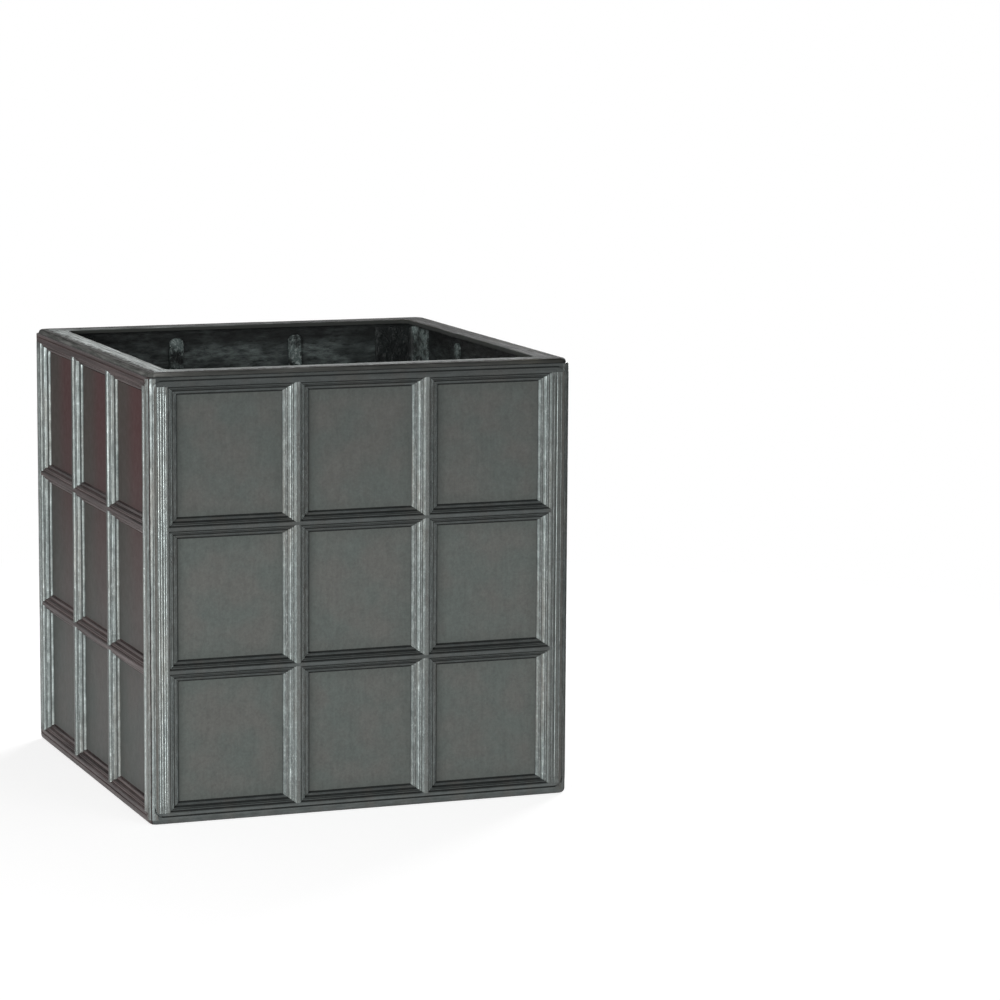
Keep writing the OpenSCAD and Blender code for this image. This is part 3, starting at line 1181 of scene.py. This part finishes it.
def makeFloorPanel(finish):
    low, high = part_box("floor_panel")
    holeRadius = laminate["drain"] / 2
    piece = block("floorPanel", low, high)
    startEdit(piece)
    sliceEvenly(0, low.x, high.x, laminate["pitch"])
    sliceEvenly(1, low.y, high.y, laminate["pitch"])
    endEdit()
    clearSelection()
    bpy.ops.mesh.primitive_cylinder_add(
        vertices=48, radius=holeRadius, depth=4 * (high.z - low.z), location=(0, 0, (low.z + high.z) / 2))
    drill = bpy.context.object
    carve(piece, drill)
    startEdit(piece)
    pick("EDGE", lambda e: all(v.co.xy.length < holeRadius + 0.1 * mm for v in e.verts)
         and abs(e.verts[0].co.z - e.verts[1].co.z) < touching)
    bevel(laminate["drainEdge"], 3)
    endEdit()

    def looseness(co):
        if abs(co.z - high.z) > 0.1 * mm:
            return 0
        fromWalls = high.x - max(abs(co.x), abs(co.y))
        return min((co.xy.length - holeRadius - 2 * mm) / (8 * mm), fromWalls / (6 * mm))

    weigh(piece, "loose", looseness)
    displace(piece, layUp, laminate["rough"], 1.0, "loose")
    smooth(piece, 40)
    dress(piece, ["floor_panel"], finish)


# painted light and shade: the front and rear skins are painted brighter, the side skins darker
litSkinLaminate = laminateFinish("litSkinLaminate", 75.0, 260.0, 1.6)
makeSkins(litSkinLaminate, laminateFinish("shadedSideLaminate", 75.0, 260.0, 0.5))
makeFloorPanel(laminateFinish("floorLaminate", 90.0, 90.0, 1.0))
print("laminate finished")


# bonding strips of glass tape

tape = {
    "thick": 2.5 * mm,
    "pitch": 4 * mm,
    "fillet": 5 * mm,
    "edge": 1.1 * mm,
    "endRadius": 5.5 * mm,
    "rough": 1.8 * mm,
    "ragged": 4.5 * mm,
    "past": 5 * mm,              # how far the cut for the fold reaches past the tape
    "dark": tone(30, 35, 34),
    "mid": tone(104, 117, 115),
    "bright": tone(214, 226, 223),
    "coat": 0.93,                # how far painted shadow darkens the corner strips on two walls
    "specular": 0.5,
    "bump": 1.2 * mm,
}


def tapeFinish(name, cornerShaded):
    material, tree, shader = newMaterial(name, tape["specular"])
    place = ownPlace(tree)
    swirl = span(tree, noise(tree, place, 75.0, 4.0, 0.65), 0.38, 0.62, soft=True)
    drift = put(tree, "TexNoise", {"Vector": place, "Scale": 60.0}).outputs["Color"]
    bent = {0: drift, 1: (0.02, 0.02, 0.02), 2: place}
    bent = put(tree, "VectorMath", bent, operation="MULTIPLY_ADD").outputs[0]
    # short glass fibres standing up out of the resin
    fibres = noise(tree, stretch(tree, bent, 480.0, 480.0, 230.0), 1.0, 3.0, 0.7)
    fibres = span(tree, fibres, 0.5, 0.66)
    colour = blend(tree, swirl, tape["dark"], tape["mid"])
    # bright fibres, partly the glass's own colour and partly painted glints
    glint = times(tree, fibres, span(tree, swirl, 0, 1, 0.15, 0.75))
    colour = blend(tree, glint, colour, tape["bright"])
    if cornerShaded:
        # the legs that lie on the front and rear walls are darkened with painted shadow of the inner corner
        axes = axesOf(tree, place)
        farX = math2(tree, "ABSOLUTE", axes["X"])
        farY = math2(tree, "ABSOLUTE", axes["Y"])
        legShadow = span(tree, math2(tree, "SUBTRACT", farY, farX), -0.002, 0.003, 0.0, tape["coat"])
        colour = blend(tree, legShadow, colour, laminate["black"])
    tree.links.new(colour, shader.inputs["Base Color"])
    tree.links.new(span(tree, swirl, 0, 1, 0.6, 0.36), shader.inputs["Roughness"])
    bump(tree, shader, math2(tree, "ADD", times(tree, fibres, 0.5), swirl), 0.8, tape["bump"])
    return material


def roughen(piece, axis):
    # lumps on the tape's free faces and a ragged cut along its edges
    displace(piece, layUp, tape["rough"], 0.6, "loose")
    displace(piece, matFibre, 0.5 * tape["rough"], 0.6, "loose")
    displace(piece, layUp, tape["ragged"], 0.6, "ragged", axis)
    smooth(piece, 60)


def camel(node):
    first, *others = node.split("_")
    return first + "".join(word.capitalize() for word in others)


def layStrips(master, nodes, raggedAxis, finish):
    # one turned copy on each wall, roughened and dressed; raggedAxis is the front wall's
    for side, turn in quarterTurns.items():
        strip = copyTurned(master, camel(nodes[side]), turn)
        across = "Y" if raggedAxis == "X" and side in ("right", "left") else raggedAxis
        roughen(strip, across)
        dress(strip, [nodes[side]], finish)
    bpy.data.objects.remove(master)


def makeRibs(finish):
    ribNames = {
        "front": ("front_rib_left", "front_rib_right"), "right": ("right_rib_front", "right_rib_rear"),
        "rear": ("rear_rib_right", "rear_rib_left"), "left": ("left_rib_rear", "left_rib_front"),
    }
    for n, first in enumerate(ribNames["front"]):
        low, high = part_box(first)
        middle = (low.x + high.x) / 2
        master = block("ribMaster", low, high)

        def atFreeEdge(edge):
            free = all(abs(v.co.y - high.y) < touching for v in edge.verts)
            return free and any(f.normal.y < 0.5 for f in edge.link_faces)

        def raggedness(co):
            return abs(co.x - middle) / (high.x - middle) if co.y > low.y + 0.1 * mm else 0.5

        startEdit(master)
        pick("EDGE", lambda e: abs(e.verts[0].co.y - e.verts[1].co.y) > 1 * mm)
        bevel(tape["endRadius"], 5)
        sliceEvenly(2, low.z, high.z, tape["pitch"])
        sliceEvenly(0, low.x, high.x, tape["pitch"] / 2)
        pick("EDGE", atFreeEdge)
        bevel(tape["edge"], 3)
        endEdit()
        weigh(master, "loose", lambda co: (co.y - low.y) / (high.y - low.y) - 0.2)
        weigh(master, "ragged", raggedness)
        layStrips(master, {side: pair[n] for side, pair in ribNames.items()}, "X", finish)


def foldedStrip(name, low, high, along):
    # a length of tape folded into a corner, with its fold filled and its edges thinned;
    # the corner that it lies in is at low, and it runs along the given axis
    piece = block(name, low, high)
    others = [axis for axis in range(3) if axis != along]
    clearLow = [low[axis] + tape["thick"] for axis in range(3)]
    clearHigh = [high[axis] + tape["past"] for axis in range(3)]
    clearLow[along] = low[along] - tape["past"]
    space = block("space", clearLow, clearHigh)
    carve(piece, space)
    startEdit(piece)
    for axis in others:
        free = steps(low[axis] + tape["thick"] + tape["fillet"] + 1 * mm, high[axis], tape["pitch"])
        sliceAcross(axis, free[:-1])

    def onFace(vertex, axis):
        return abs(vertex.co[axis] - low[axis] - tape["thick"]) < touching

    def onFold(edge):
        return all(onFace(v, axis) for v in edge.verts for axis in others)

    def onEdge(edge):
        for free, flat in (others, others[::-1]):
            if all(abs(v.co[free] - high[free]) < touching and onFace(v, flat) for v in edge.verts):
                return True
        return False

    pick("EDGE", onFold)
    bevel(tape["fillet"], 5)
    pick("EDGE", onEdge)
    bevel(tape["edge"], 2)
    sliceEvenly(along, low[along], high[along], tape["pitch"])
    endEdit()
    weigh(piece, "loose", lambda co: min(co[axis] - low[axis] for axis in others) / tape["thick"] - 0.2)
    return piece


def makeCornerStrips(finish):
    low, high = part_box("front_left_corner_strip")
    master = foldedStrip("cornerMaster", low, high, 2)
    weigh(master, "ragged", lambda co: 1 - (high.x - co.x) / (10 * mm))
    corners = {"front": "front_left", "right": "front_right", "rear": "rear_right", "left": "rear_left"}
    nodes = {side: corner + "_corner_strip" for side, corner in corners.items()}
    layStrips(master, nodes, "X", finish)


def makeFloorStrips(finish):
    low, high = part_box("front_floor_strip")
    master = foldedStrip("floorStripMaster", low, high, 0)
    startEdit(master)
    mitre(low, high)
    endEdit()
    weigh(master, "ragged", lambda co: 1 - (high.z - co.z) / (10 * mm))
    layStrips(master, {side: side + "_floor_strip" for side in quarterTurns}, "Z", finish)


wetTape = tapeFinish("wetTape", False)
makeRibs(wetTape)
makeCornerStrips(tapeFinish("cornerShadedTape", True))
makeFloorStrips(wetTape)
print("strips finished")
